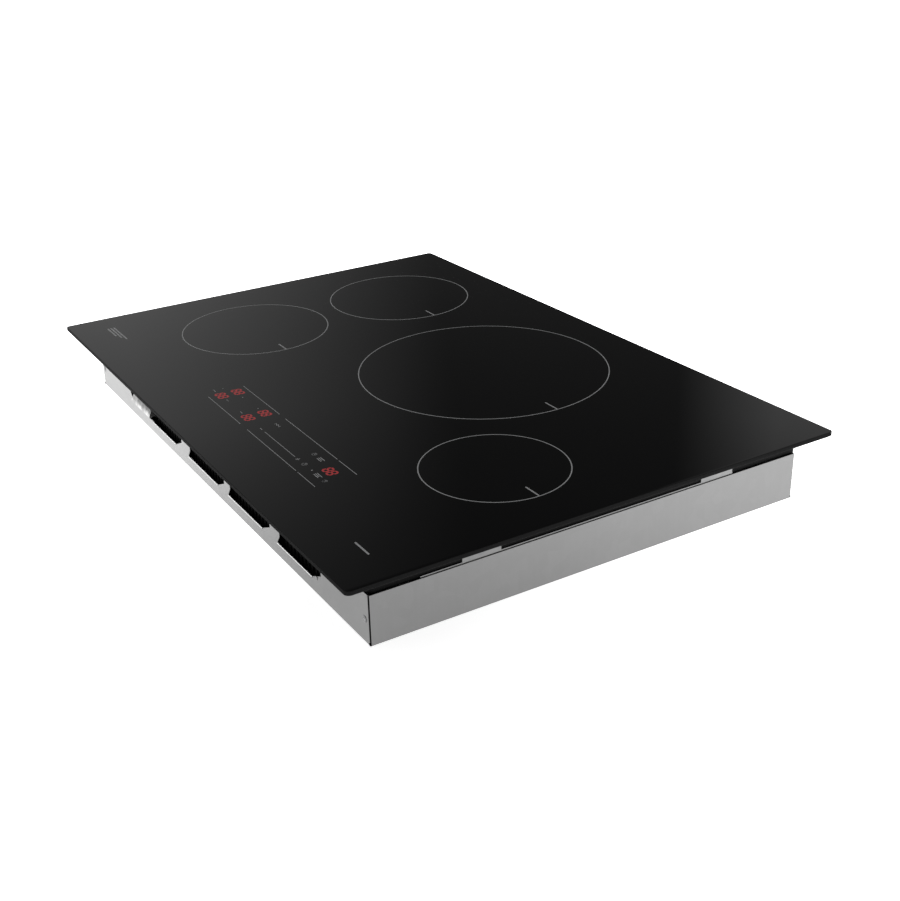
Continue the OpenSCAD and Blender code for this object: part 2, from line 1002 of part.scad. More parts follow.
// Two insulated leads from each coil down through the plate to its board
module coil_leads() {
    lead_r = 1.8;
    apart = 4.5;
    lug_r = 4;
    top = base_z - coil_travel - 1.5;
    color([0.75, 0.12, 0.1])
        for (h = lead_holes)
            for (side = [-1, 1])
                translate([h[0], h[1] + side * apart, board_top]) {
                    cylinder(r = lead_r, h = top - board_top);
                    cylinder(r = lug_r, h = 1.5);
                }
}

// Flat ribbon from the touch board down to the right generator board
module ribbon_cable() {
    color([0.7, 0.7, 0.72])
        translate([ribbon_x[0], 0, 0])
            rotate([90, 0, 90])
                linear_extrude(ribbon_x[1] - ribbon_x[0])
                    strip(ribbon_path, ribbon_t);
    color([0.9, 0.9, 0.88])
        block([ribbon_x[0] - 2, -145, board_top], [ribbon_x[1] + 2, -137, ribbon_path[4][1] + 0.5]);
}

glass_top();
worktop_seal();
glass_frame();
tray();
side_panel(-1);  // side_panel_left
side_panel(1);  // side_panel_right
plate_rail(-1);  // plate_rail_left
plate_rail(1);  // plate_rail_right
front_air_baffle();
coil_plate();
case_screws();
plate_screws();
clip_feet();
clip_leaf(false);  // front_clip_leaf
clip_leaf(true);  // rear_clip_leaf
coil_base(0);  // coil_base_1
coil_ferrites(0);  // coil_ferrites_1
coil_carrier(0);  // coil_carrier_1
coil_winding(0);  // coil_winding_1
coil_sensor(0);  // coil_sensor_1
coil_springs(0);  // coil_springs_1
coil_base(1);  // coil_base_2
coil_ferrites(1);  // coil_ferrites_2
coil_carrier(1);  // coil_carrier_2
coil_winding(1);  // coil_winding_2
coil_sensor(1);  // coil_sensor_2
coil_springs(1);  // coil_springs_2
coil_base(2);  // coil_base_3
coil_ferrites(2);  // coil_ferrites_3
coil_carrier(2);  // coil_carrier_3
coil_winding(2);  // coil_winding_3
coil_sensor(2);  // coil_sensor_3
coil_springs(2);  // coil_springs_3
coil_base(3);  // coil_base_4
coil_ferrites(3);  // coil_ferrites_4
coil_carrier(3);  // coil_carrier_4
coil_winding(3);  // coil_winding_4
coil_sensor(3);  // coil_sensor_4
coil_springs(3);  // coil_springs_4
mica_sheets();
touch_holder();
touch_board();
display_modules();
touch_pads();
power_boards();
board_carriers();
heat_sinks();
power_transistors();
capacitors();
choke_coils();
air_ducts();
fan_housing(unit_x[0]);  // fan_housing_left
fan_housing(unit_x[1]);  // fan_housing_right
fan_rotor(unit_x[0]);  // fan_rotor_left
fan_rotor(unit_x[1]);  // fan_rotor_right
filter_board();
terminal_block();
cable_gland();
coil_leads();
ribbon_cable();
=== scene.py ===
import json
import math

import bmesh
import bpy
import numpy as np
from mathutils import Matrix, Vector


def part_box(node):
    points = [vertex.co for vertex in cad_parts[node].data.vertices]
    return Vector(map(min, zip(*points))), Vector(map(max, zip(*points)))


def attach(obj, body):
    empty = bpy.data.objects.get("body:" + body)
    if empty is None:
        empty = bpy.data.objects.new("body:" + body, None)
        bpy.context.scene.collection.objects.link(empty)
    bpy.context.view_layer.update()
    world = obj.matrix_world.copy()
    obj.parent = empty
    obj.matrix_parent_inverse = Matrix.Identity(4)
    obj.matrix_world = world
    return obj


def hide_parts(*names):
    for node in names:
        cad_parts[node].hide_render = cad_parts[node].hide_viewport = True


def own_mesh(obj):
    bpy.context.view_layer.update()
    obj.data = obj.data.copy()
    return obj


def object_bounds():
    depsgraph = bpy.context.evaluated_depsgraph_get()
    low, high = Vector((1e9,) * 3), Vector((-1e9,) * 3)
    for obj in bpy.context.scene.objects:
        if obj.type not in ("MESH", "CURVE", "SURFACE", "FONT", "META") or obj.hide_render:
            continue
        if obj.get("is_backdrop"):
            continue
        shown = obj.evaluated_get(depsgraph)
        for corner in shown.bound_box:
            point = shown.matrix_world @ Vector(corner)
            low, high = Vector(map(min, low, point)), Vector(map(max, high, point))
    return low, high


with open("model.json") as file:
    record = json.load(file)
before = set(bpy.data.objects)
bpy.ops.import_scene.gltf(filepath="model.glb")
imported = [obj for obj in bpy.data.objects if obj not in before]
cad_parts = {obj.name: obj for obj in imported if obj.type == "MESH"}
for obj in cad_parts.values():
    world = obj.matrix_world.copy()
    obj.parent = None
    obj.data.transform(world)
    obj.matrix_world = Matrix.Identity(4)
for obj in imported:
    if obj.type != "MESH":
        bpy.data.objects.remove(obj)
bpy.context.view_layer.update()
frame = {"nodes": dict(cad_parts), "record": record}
nodes = frame["nodes"]
bodies = frame["record"]["behaviour"]["bodies"]
slotOf = {part["node"]: part["material_slot"] for part in frame["record"]["subparts"]}
bodyOf = {node: body for body, members in bodies.items() for node in members}
print("frame loaded:", len(nodes), "nodes")

mm = 0.001
glassLow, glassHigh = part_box("glass_top")
glassTop = glassHigh.z

# Camera, in degrees and metres: turn is from the front towards the right, tilt is above the horizon
camera = {
    "lens": 50.75,
    "turn": 60.95,
    "tilt": 24.33,
    "lean": 2.34,
    "distance": 1.2847,
    "lookAt": (0.1328, -0.0770, 0.077),
    "shift": (0.0554, -0.0243),
}


def placeCamera():
    turn, tilt, lean = (math.radians(camera[k]) for k in ("turn", "tilt", "lean"))
    back = Vector((math.cos(tilt) * math.sin(turn), -math.cos(tilt) * math.cos(turn), math.sin(tilt)))
    level = Vector((0, 0, 1)).cross(back).normalized()
    up = back.cross(level)
    right = math.cos(lean) * level - math.sin(lean) * up
    top = math.sin(lean) * level + math.cos(lean) * up
    data = bpy.data.cameras.new("camera")
    data.sensor_fit = "HORIZONTAL"
    data.sensor_width = 36
    data.lens = camera["lens"]
    data.shift_x, data.shift_y = camera["shift"]
    data.clip_start, data.clip_end = 0.01, 100
    eye = bpy.data.objects.new("camera", data)
    spot = Vector(camera["lookAt"]) + camera["distance"] * back
    eye.matrix_world = Matrix.Translation(spot) @ Matrix((right, top, back)).transposed().to_4x4()
    bpy.context.scene.collection.objects.link(eye)
    bpy.context.scene.camera = eye


placeCamera()
print("camera placed")


class Wire:
    # One output socket, so that shader maths is written as plain expressions
    def __init__(self, finish, socket):
        self.finish = finish
        self.socket = socket

    def __add__(self, other):
        return self.finish.sums("ADD", self, other)

    def __sub__(self, other):
        return self.finish.sums("SUBTRACT", self, other)

    def __rsub__(self, other):
        return self.finish.sums("SUBTRACT", other, self)

    def __mul__(self, other):
        return self.finish.sums("MULTIPLY", self, other)

    def __truediv__(self, other):
        return self.finish.sums("DIVIDE", self, other)

    def __pow__(self, other):
        return self.finish.sums("POWER", self, other)

    def clamp(self):
        return self.finish.sums("ADD", self, 0, use_clamp=True)

    __radd__ = __add__
    __rmul__ = __mul__


class Finish:
    # The node tree of one material or of the world; make() adds any node to it
    def __init__(self, tree):
        self.tree = tree
        self.tree.nodes.clear()

    def make(self, kind, settings=None, sockets=None, out=0):
        node = self.tree.nodes.new(kind)
        for name, value in (settings or {}).items():
            setattr(node, name, value)
        for name, value in (sockets or {}).items():
            self.feed(node.inputs[name], value)
        return Wire(self, node.outputs[out])

    def feed(self, socket, value):
        if isinstance(value, Wire):
            self.tree.links.new(value.socket, socket)
        elif socket.type == "RGBA" and len(value) == 3:
            socket.default_value = (*value, 1)
        else:
            socket.default_value = value

    def sums(self, operation, a, b, use_clamp=False):
        return self.make("ShaderNodeMath", {"operation": operation, "use_clamp": use_clamp}, {0: a, 1: b})

    def blend(self, factor, a, b):
        return self.make("ShaderNodeMix", {"data_type": "RGBA"}, {0: factor, 6: a, 7: b}, out=2)

    def split(self, vector):
        node = self.tree.nodes.new("ShaderNodeSeparateXYZ")
        self.feed(node.inputs[0], vector)
        return [Wire(self, output) for output in node.outputs]

    # Object coordinates in metres, times a stretch along each axis
    def coords(self, stretch=(1, 1, 1)):
        place = self.make("ShaderNodeTexCoord", out="Object")
        return self.make("ShaderNodeVectorMath", {"operation": "MULTIPLY"}, {0: place, 1: stretch})

    def noise(self, scale, detail=2.0, stretch=(1, 1, 1)):
        sockets = {"Vector": self.coords(stretch), "Scale": scale, "Detail": detail}
        return self.make("ShaderNodeTexNoise", None, sockets)

    def cells(self, scale, out="Distance", **settings):
        sockets = {"Vector": self.coords(), "Scale": scale}
        return self.make("ShaderNodeTexVoronoi", settings, sockets, out)

    def bump(self, height, strength, depth):
        sockets = {"Height": height, "Strength": strength, "Distance": depth}
        return self.make("ShaderNodeBump", None, sockets)


def newFinish(name, base, roughness, metallic=0.0, normal=None, **fixed):
    # base, roughness, normal and the fixed sockets each take a function of the finish or a plain value
    material = bpy.data.materials.new(name)
    material.use_nodes = True
    finish = Finish(material.node_tree)
    shader = material.node_tree.nodes.new("ShaderNodeBsdfPrincipled")
    target = material.node_tree.nodes.new("ShaderNodeOutputMaterial")
    material.node_tree.links.new(shader.outputs[0], target.inputs[0])
    for socket, value in (("Base Color", base), ("Roughness", roughness), ("Normal", normal)):
        if value is not None:
            finish.feed(shader.inputs[socket], value(finish) if callable(value) else value)
    shader.inputs["Metallic"].default_value = metallic
    for socket, value in fixed.items():
        finish.feed(shader.inputs[socket.replace("_", " ")], value(finish) if callable(value) else value)
    return material


def shaded(low, high, pattern):
    return lambda f: f.blend(pattern(f), low, high)


# Light grey satin sheet of the case: rolling streaks down the walls, faint spangle, fine grain
steel = {
    "dark": (0.246, 0.246, 0.246),
    "light": (0.277, 0.277, 0.277),
    "roughness": 0.38,
    "streaks": (160, 160, 7),
    "spangle": 90,
    "grain": 2600,
}


def steelTone(f):
    streak = f.noise(1, 3, steel["streaks"])
    flake = f.cells(steel["spangle"], out="Color")
    return (streak * 0.75 + f.make("ShaderNodeSeparateColor", None, {0: flake}) * 0.25).clamp()


def steelRoughness(f):
    return f.noise(1, 3, steel["streaks"]) * 0.10 + f.noise(9, 2) * 0.06 + (steel["roughness"] - 0.08)


def steelGrain(f):
    return f.bump(f.noise(steel["grain"], 2), 0.10, 0.00003)


# Spring strip: fine rolling lines under uneven darker and lighter patches
def springTone(f):
    patches = ((f.noise(130, 2) - 0.42) * 4).clamp()
    return (patches * 0.8 + f.noise(1, 2, (30, 700, 700)) * 0.3).clamp()


finishes = {
    "ground_edge": newFinish(
        "groundEdge",
        shaded((0.011, 0.011, 0.0112), (0.019, 0.019, 0.0192), lambda f: f.noise(900, 2)),
        lambda f: f.noise(300, 2) * 0.1 + 0.65,
        normal=lambda f: f.bump(f.noise(1500, 2), 0.2, 0.0001),
        Specular_IOR_Level=0.02,
    ),
    # Air baffle slats: dark plastic made darker still, near black, as painted shade for the dark inside seen
    # through the front notches
    "shaded_slats": newFinish(
        "shadedSlats",
        shaded((0.0012, 0.0012, 0.0012), (0.0035, 0.0035, 0.0035), lambda f: f.noise(120, 3)),
        lambda f: f.noise(30, 2) * 0.1 + 0.7,
        normal=lambda f: f.bump(f.noise(1200, 2), 0.2, 0.0001),
        Specular_IOR_Level=0.04,
    ),
    "black_glass": newFinish(
        "blackGlass",
        shaded((0.0014, 0.0014, 0.0016), (0.0022, 0.0022, 0.0024), lambda f: f.noise(600, 2)),
        lambda f: f.noise(7, 3) * 0.03 + 0.045,
        IOR=1.5,
    ),
    "seal_foam": newFinish(
        "sealFoam",
        shaded((0.010, 0.010, 0.010), (0.035, 0.035, 0.034), lambda f: f.cells(1500)),
        0.95,
        normal=lambda f: f.bump(f.cells(1500), 0.6, 0.0003),
    ),
    "black_frame": newFinish(
        "blackFrame",
        shaded((0.0018, 0.0018, 0.002), (0.0045, 0.0045, 0.0048), lambda f: f.noise(500, 3)),
        lambda f: f.noise(60, 2) * 0.1 + 0.5,
        normal=lambda f: f.bump(f.noise(2200, 2), 0.25, 0.0001),
        Specular_IOR_Level=0.09,
    ),
    "case_steel": newFinish(
        "caseSteel", shaded(steel["dark"], steel["light"], steelTone), steelRoughness, 1.0, steelGrain
    ),
    "inner_steel": newFinish(
        "zincSteel",
        shaded((0.225, 0.228, 0.232), (0.275, 0.275, 0.272), lambda f: f.cells(120, out="Color")),
        lambda f: f.noise(40, 2) * 0.15 + 0.28,
        1.0,
        lambda f: f.bump(f.noise(900, 2), 0.08, 0.00005),
    ),
    "black_plastic": newFinish(
        "mouldedBlack",
        shaded((0.016, 0.016, 0.017), (0.030, 0.030, 0.031), lambda f: f.noise(120, 3)),
        lambda f: f.noise(30, 2) * 0.12 + 0.42,
        normal=lambda f: f.bump(f.noise(1800, 2), 0.2, 0.0001),
    ),
    "rotor_plastic": newFinish(
        "rotorGrey",
        shaded((0.045, 0.045, 0.05), (0.075, 0.075, 0.08), lambda f: f.noise(160, 3)),
        lambda f: f.noise(40, 2) * 0.1 + 0.4,
        normal=lambda f: f.bump(f.noise(1500, 2), 0.15, 0.0001),
    ),
    "aluminium_sheet": newFinish(
        "rolledAluminium",
        shaded((0.70, 0.71, 0.72), (0.84, 0.85, 0.86), lambda f: f.noise(1, 3, (6, 400, 400))),
        lambda f: f.noise(1, 3, (8, 500, 500)) * 0.16 + 0.26,
        1.0,
        lambda f: f.bump(f.noise(1, 2, (20, 1500, 1500)), 0.12, 0.00004),
    ),
    "screw_steel": newFinish(
        "screwSteel",
        shaded((0.20, 0.20, 0.205), (0.30, 0.30, 0.30), lambda f: f.noise(700, 3)),
        lambda f: f.noise(500, 2) * 0.15 + 0.25,
        1.0,
    ),
    "spring_steel": newFinish(
        "springSteel",
        shaded((0.20, 0.20, 0.20), (0.50, 0.50, 0.495), springTone),
        lambda f: f.noise(1, 2, (30, 700, 700)) * 0.12 + 0.24,
        1.0,
        lambda f: f.bump(f.noise(140, 2), 0.25, 0.0006),
    ),
    "coil_disc": newFinish(
        "coilDisc",
        shaded((0.66, 0.67, 0.69), (0.80, 0.81, 0.83), lambda f: f.noise(300, 3)),
        lambda f: f.noise(80, 3) * 0.2 + 0.3,
        1.0,
    ),
    "ferrite": newFinish(
        "ferriteBar",
        shaded((0.028, 0.028, 0.031), (0.060, 0.060, 0.064), lambda f: f.noise(900, 4)),
        lambda f: f.noise(300, 2) * 0.2 + 0.5,
        normal=lambda f: f.bump(f.noise(1200, 3), 0.3, 0.0001),
    ),
    "carrier_plastic": newFinish(
        "creamPlastic",
        shaded((0.70, 0.66, 0.56), (0.80, 0.77, 0.68), lambda f: f.noise(50, 3)),
        lambda f: f.noise(60, 2) * 0.12 + 0.45,
        normal=lambda f: f.bump(f.noise(1500, 2), 0.12, 0.0001),
    ),
    "copper_winding": newFinish(
        "litzCopper",
        shaded((0.42, 0.17, 0.07), (0.78, 0.40, 0.20), lambda f: f.noise(700, 3)),
        lambda f: f.noise(300, 2) * 0.15 + 0.28,
        0.9,
        lambda f: f.bump(f.noise(1600, 2), 0.3, 0.0002),
        Coat_Weight=0.5,
    ),
    "sensor_ceramic": newFinish(
        "sensorCeramic",
        shaded((0.78, 0.78, 0.75), (0.88, 0.88, 0.86), lambda f: f.noise(400, 3)),
        lambda f: f.noise(300, 2) * 0.1 + 0.4,
        normal=lambda f: f.bump(f.noise(2000, 2), 0.1, 0.0001),
    ),
    "mica": newFinish(
        "micaSheet",
        shaded((0.42, 0.36, 0.25), (0.70, 0.63, 0.48), lambda f: f.cells(180, out="Color")),
        lambda f: f.cells(180, out="Color") * 0.3 + 0.25,
        normal=lambda f: f.bump(f.cells(180, out="Color"), 0.2, 0.0001),
    ),
    "touch_rubber": newFinish(
        "contactFoam",
        shaded((0.05, 0.05, 0.05), (0.10, 0.10, 0.10), lambda f: f.cells(1800)),
        0.9,
        normal=lambda f: f.bump(f.cells(1800), 0.5, 0.0002),
    ),
    "white_plastic": newFinish(
        "whitePlastic",
        shaded((0.72, 0.72, 0.69), (0.80, 0.80, 0.77), lambda f: f.noise(40, 3)),
        lambda f: f.noise(60, 2) * 0.1 + 0.4,
        normal=lambda f: f.bump(f.noise(1500, 2), 0.1, 0.0001),
    ),
    "heat_sink_metal": newFinish(
        "extrudedAluminium",
        shaded((0.62, 0.63, 0.65), (0.78, 0.79, 0.81), lambda f: f.noise(1, 3, (500, 8, 500))),
        lambda f: f.noise(1, 3, (600, 10, 600)) * 0.15 + 0.3,
        1.0,
        lambda f: f.bump(f.noise(1, 2, (1500, 20, 1500)), 0.15, 0.00005),
    ),
    "component_black": newFinish(
        "epoxyBlack",
        shaded((0.014, 0.014, 0.015), (0.026, 0.026, 0.027), lambda f: f.noise(1200, 3)),
        lambda f: f.noise(500, 2) * 0.15 + 0.45,
        normal=lambda f: f.bump(f.noise(2500, 2), 0.2, 0.0001),
    ),
    "capacitor_blue": newFinish(
        "dippedBlue",
        shaded((0.04, 0.11, 0.34), (0.07, 0.18, 0.46), lambda f: f.noise(90, 3)),
        lambda f: f.noise(60, 2) * 0.1 + 0.18,
        normal=lambda f: f.bump(f.noise(150, 2), 0.1, 0.0003),
    ),
    "lead_red": newFinish(
        "siliconeRed",
        shaded((0.38, 0.025, 0.02), (0.52, 0.045, 0.035), lambda f: f.noise(300, 3)),
        lambda f: f.noise(100, 2) * 0.1 + 0.45,
    ),
}


def boardTone(f):
    # Copper tracks under the mask: the thin walls between square cells
    walls = f.cells(110, feature="F2", distance="CHEBYCHEV")
    return ((walls - 0.55) * 6).clamp()


def ribbonTone(f):
    return f.make("ShaderNodeTexWave", {"bands_direction": "X"}, {"Vector": f.coords(), "Scale": 250}, 1)


finishes["circuit_board"] = newFinish(
    "greenBoard",
    shaded((0.012, 0.085, 0.035), (0.035, 0.20, 0.085), boardTone),
    lambda f: f.noise(200, 2) * 0.1 + 0.3,
    normal=lambda f: f.bump(boardTone(f), 0.3, 0.0001),
)
finishes["ribbon_grey"] = newFinish(
    "ribbonGrey",
    shaded((0.30, 0.30, 0.32), (0.58, 0.58, 0.60), ribbonTone),
    0.45,
)
finishes["display_red"] = newFinish(
    "displayWindow",
    shaded((0.05, 0.004, 0.004), (0.10, 0.006, 0.006), lambda f: f.noise(400, 2)),
    lambda f: f.noise(80, 2) * 0.05 + 0.12,
)

# Every CAD node wears its record slot's finish, except the front air baffle, whose near-black finish paints
# the shade inside the front notches
ownFinish = {"front_air_baffle": "shaded_slats"}
for node, thing in nodes.items():
    thing.data.materials.clear()
    thing.data.materials.append(finishes[ownFinish.get(node, slotOf[node])])
print("finishes made:", len(finishes))


recordSlots = {material["slot"] for material in frame["record"]["materials"]}


def newPiece(name, mesh, body, finish, *replaced):
    piece = bpy.data.objects.new(name, mesh)
    bpy.context.scene.collection.objects.link(piece)
    mesh.materials.clear()
    mesh.materials.append(finishes[finish])
    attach(piece, body)
    finish in recordSlots
    if replaced:
        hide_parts(*replaced)
    return piece


def meshOf(name, points, faces):
    mesh = bpy.data.meshes.new(name)
    mesh.from_pydata(np.asarray(points, float).reshape(-1, 3).tolist(), [], faces)
    mesh.update()
    return mesh


# Faces of a grid of rows and columns of points, each direction open or closed on itself
def gridFaces(rows, columns, closeRows, closeColumns):
    i, j = np.meshgrid(
        np.arange(rows if closeRows else rows - 1),
        np.arange(columns if closeColumns else columns - 1),
        indexing="ij",
    )
    nextI, nextJ = (i + 1) % rows, (j + 1) % columns
    corners = (i * columns + j, i * columns + nextJ, nextI * columns + nextJ, nextI * columns + j)
    return np.stack(corners, -1).reshape(-1, 4).tolist()


# Faces of a tube of rings, with a flat cap over its first and its last ring
def tubeFaces(rings, perRing):
    last = (rings - 1) * perRing
    caps = [list(range(perRing))[::-1], list(range(last, last + perRing))]
    return gridFaces(rings, perRing, False, True) + caps


# Prism over a flat outline whose points run anticlockwise, from one height to another
def prism(outline, bottom, top):
    outline = np.asarray(outline, float)
    points = [np.column_stack([outline, np.full(len(outline), z)]) for z in (bottom, top)]
    return np.concatenate(points), tubeFaces(2, len(outline))


# Several solids, each its points and faces, as one list of points and one of faces
def merged(solids):
    points, faces, start = [], [], 0
    for solidPoints, solidFaces in solids:
        points.append(solidPoints)
        faces += [[start + corner for corner in face] for face in solidFaces]
        start += len(solidPoints)
    return np.concatenate(points), faces


# Sheet parts whose many tiny edges would otherwise hold every round back to nothing
openSheets = ("tray", "side_panel_left", "side_panel_right", "plate_rail_left", "plate_rail_right")
rounding = {
    "merge": 1e-6,  # points closer than this are one, in metres
    "flat": 0.5,  # faces that meet within this angle are one, in degrees
    "sharp": 32,  # edges over this angle get a round, in degrees
    "segments": 2,
}


# A merged copy of a CAD node with small rounds along its sharp edges, in place of the node
def softened(name, node, width):
    shape = bmesh.new()
    shape.from_mesh(nodes[node].data)
    bmesh.ops.remove_doubles(shape, verts=shape.verts, dist=rounding["merge"])
    flat = math.radians(rounding["flat"])
    bmesh.ops.dissolve_limit(shape, angle_limit=flat, verts=shape.verts, edges=shape.edges)
    mesh = bpy.data.meshes.new(name)
    shape.to_mesh(mesh)
    shape.free()
    if "custom_normal" in mesh.attributes:
        mesh.attributes.remove(mesh.attributes["custom_normal"])
    mesh.shade_smooth()
    piece = newPiece(name, mesh, bodyOf[node], slotOf[node], node)
    bevel = piece.modifiers.new("edges", "BEVEL")
    bevel.width = width
    bevel.segments = rounding["segments"]
    bevel.limit_method = "ANGLE"
    bevel.angle_limit = math.radians(rounding["sharp"])
    bevel.harden_normals = True
    bevel.use_clamp_overlap = node not in openSheets
    return piece


glass = {"corner": 5.0, "edge": 0.32, "arcSteps": 5, "cornerSteps": 12, "sharp": 25}


# Round-cornered outline: four quarter circles of the corner radius, joined by straight runs;
# every point has its outward direction
def roundOutline(low, high, radius, steps):
    angle = np.linspace(0, math.pi / 2, steps + 1)
    turn = (np.arange(4)[:, None] * math.pi / 2 + angle).ravel()
    outward = np.stack([np.cos(turn), np.sin(turn)], -1)
    sign = np.repeat([[1, 1], [-1, 1], [-1, -1], [1, -1]], steps + 1, axis=0)
    middle = (np.array(low) + np.array(high)) / 2
    half = (np.array(high) - np.array(low)) / 2
    return middle + sign * (half - radius) + radius * outward, outward


# Slab with round edges: the outline moved in and up along a quarter circle, a straight side and another
# quarter circle, then flat caps
def makeGlass():
    outline, outward = roundOutline(glassLow.xy, glassHigh.xy, glass["corner"] * mm, glass["cornerSteps"])
    edge = glass["edge"] * mm
    angle = np.linspace(0, math.pi / 2, glass["arcSteps"] + 1)
    inset = edge * (1 - np.sin(angle))
    rise = edge * (1 - np.cos(angle))
    height = np.concatenate([glassLow.z + rise, glassHigh.z - rise[::-1]])
    moved = np.concatenate([inset, inset[::-1]])
    flat = outline[None] - outward[None] * moved[:, None, None]
    points = np.concatenate([flat, np.broadcast_to(height[:, None, None], flat.shape[:2] + (1,))], -1)
    faces = tubeFaces(*points.shape[:2])
    mesh = meshOf("glassPlate", points, faces)
    mesh.shade_smooth()
    mesh.set_sharp_from_angle(angle=math.radians(glass["sharp"]))
    plate = newPiece("glassPlate", mesh, "case", "black_glass", "glass_top")
    plate.data.materials.append(finishes["ground_edge"])
    ground = np.ones(len(faces), int)
    ground[-1] = 0  # only the top cap is polished
    mesh.polygons.foreach_set("material_index", ground)


makeGlass()
print("glass made")

# Windings: one flat spiral of stranded wire on each coil unit
litz = {
    "inner": {1: 26, 2: 26, 3: 34, 4: 24},  # inner radius, mm
    "pitch": 3.4,
    "strands": 5,
    "lobe": 0.09,  # how far the strands stand out, as a share of the wire's radius
    "lay": 26,  # length of one full twist, mm
    "fill": 0.49,  # the wire's radius as a share of the pitch
    "section": 15,
    "perTurn": 72,
}


# Spiral r = outer - pitch * turns; round its line a lobed circle whose lobes turn with the way along it
def makeWinding(k):
    node = f"coil_winding_{k}"
    low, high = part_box(node)
    centre = np.array((low + high) / 2) / mm
    outer = (high.x - low.x) / 2 / mm
    wire = (high.z - low.z) / 2 / mm
    inner = litz["inner"][k]
    count = int((outer - inner) / litz["pitch"])
    pitch = (outer - inner) / count
    half = pitch * litz["fill"]
    turns = np.linspace(0, count - 1, (count - 1) * litz["perTurn"] + 1)
    angle = 2 * math.pi * turns
    radius = outer - half - pitch * turns
    along = np.concatenate([[0], np.cumsum(radius[1:] * np.diff(angle))])
    around = np.linspace(0, 2 * math.pi, litz["section"], endpoint=False)
    twist = 2 * math.pi * along[:, None] / litz["lay"]
    lobes = 1 - litz["lobe"] + litz["lobe"] * np.cos(litz["strands"] * (around + twist))
    reach = radius[:, None] + half * lobes * np.cos(around)
    height = wire * lobes * np.sin(around)
    x, y = np.cos(angle)[:, None] * reach, np.sin(angle)[:, None] * reach
    points = np.stack([x, y, height], -1) + centre
    mesh = meshOf(f"litzWinding{k}", points * mm, tubeFaces(len(turns), litz["section"]))
    mesh.shade_smooth()
    newPiece(f"litzWinding{k}", mesh, bodyOf[node], "copper_winding", node)


for k in litz["inner"]:
    makeWinding(k)
print("windings made")

# Choke coils on the boards: a black ring core, wound with round wire, in millimetres
choke = {
    "places": [(-298, -110), (-298, -70), (-8, -110), (-8, -70)],
    "core": 12,  # radius of the ring's middle line
    "body": 4.6,  # radius of the ring's section
    "wire": 1.05,
    "turns": 26,
    "wound": 0.925,  # share of the ring under the wire
    "coreSteps": (72, 24),  # round the ring, round its section
    "wireSteps": (20, 8),  # along each turn, round the wire
}


# Ring: a circle carried round a circle
def chokeCore():
    steps, section = choke["coreSteps"]
    around = np.linspace(0, 2 * math.pi, section, endpoint=False)
    turn = np.linspace(0, 2 * math.pi, steps, endpoint=False)
    reach = choke["core"] + choke["body"] * np.cos(around)
    rise = np.broadcast_to(choke["body"] * np.sin(around), (steps, section))
    core = np.stack([np.cos(turn)[:, None] * reach, np.sin(turn)[:, None] * reach, rise], -1)
    return core.reshape(-1, 3), gridFaces(steps, section, True, True)


# Wire: a thin circle carried along a coil wound on the ring, square to the coil's own direction
def chokeTube():
    perTurn, section = choke["wireSteps"]
    along = np.linspace(0, 1, choke["turns"] * perTurn + 1)
    way, roll = along * choke["wound"] * 2 * math.pi, along * choke["turns"] * 2 * math.pi
    loop = choke["body"] + choke["wire"]
    line = np.stack([
        np.cos(way) * (choke["core"] + loop * np.cos(roll)),
        np.sin(way) * (choke["core"] + loop * np.cos(roll)),
        loop * np.sin(roll),
    ], -1)
    ahead = np.gradient(line, axis=0)
    ahead /= np.linalg.norm(ahead, axis=1)[:, None]
    heart = np.stack([np.cos(way), np.sin(way), 0 * way], -1) * choke["core"]
    outward = line - heart
    outward -= (outward * ahead).sum(1)[:, None] * ahead
    outward /= np.linalg.norm(outward, axis=1)[:, None]
    across = np.cross(ahead, outward)
    ring = np.linspace(0, 2 * math.pi, section, endpoint=False)
    tube = line[:, None] + choke["wire"] * (
        np.cos(ring)[None, :, None] * outward[:, None] + np.sin(ring)[None, :, None] * across[:, None]
    )
    return tube.reshape(-1, 3), tubeFaces(len(line), section)


def makeChokes():
    low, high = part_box("choke_coils")
    height = (low.z + high.z) / 2 / mm
    for name, shape, finish, replaced in (
        ("chokeCores", chokeCore(), "ferrite", ()),
        ("chokeWire", chokeTube(), "copper_winding", ("choke_coils",)),
    ):
        points, faces = merged([(shape[0] + (x, y, height), shape[1]) for x, y in choke["places"]])
        mesh = meshOf(name, points * mm, faces)
        mesh.shade_smooth()
        newPiece(name, mesh, "case", finish, *replaced)


makeChokes()
print("chokes made")

# Printing on the glass, in millimetres from its middle
ink = {"height": 0.03, "sunk": 0.05, "line": 1.15, "ringSteps": 240}
zones = {  # centre x, centre y, radius
    "zonePrint1": (-232, -74, 90),
    "zonePrint2": (-232, 132, 90),
    "zonePrint3": (44, 82, 140),
    "zonePrint4": (259, -47, 72.5),
}
tick = {"length": 21, "width": 1.7, "gap": 1.5}
panel = {
    "frontY": -207.2,
    "backY": -163,
    "front": [(-58.9, 27.6), (45.7, 159.6), (164.3, 200.5)],
    "back": [(-65.2, 28.6), (43.3, 160.4), (164.1, 200.2)],
    "slider": (61.1, 131.9, -194.6),
    "line": 0.7,
}


# Ring: a rectangle of the line's width and the ink's height, carried round a circle
def ringSolid(x, y, radius, width):
    angle = np.linspace(0, 2 * math.pi, ink["ringSteps"], endpoint=False)
    side = np.array([-0.5, 0.5, 0.5, -0.5]) * width
    lift = np.array([-ink["sunk"], -ink["sunk"], ink["height"], ink["height"]])
    reach = radius + side
    points = np.stack([
        x + np.cos(angle)[:, None] * reach,
        y + np.sin(angle)[:, None] * reach,
        np.broadcast_to(lift, (len(angle), 4)),
    ], -1)
    return points.reshape(-1, 3), gridFaces(len(angle), 4, True, True)


def inkPrism(outline):
    return prism(outline, -ink["sunk"], ink["height"])


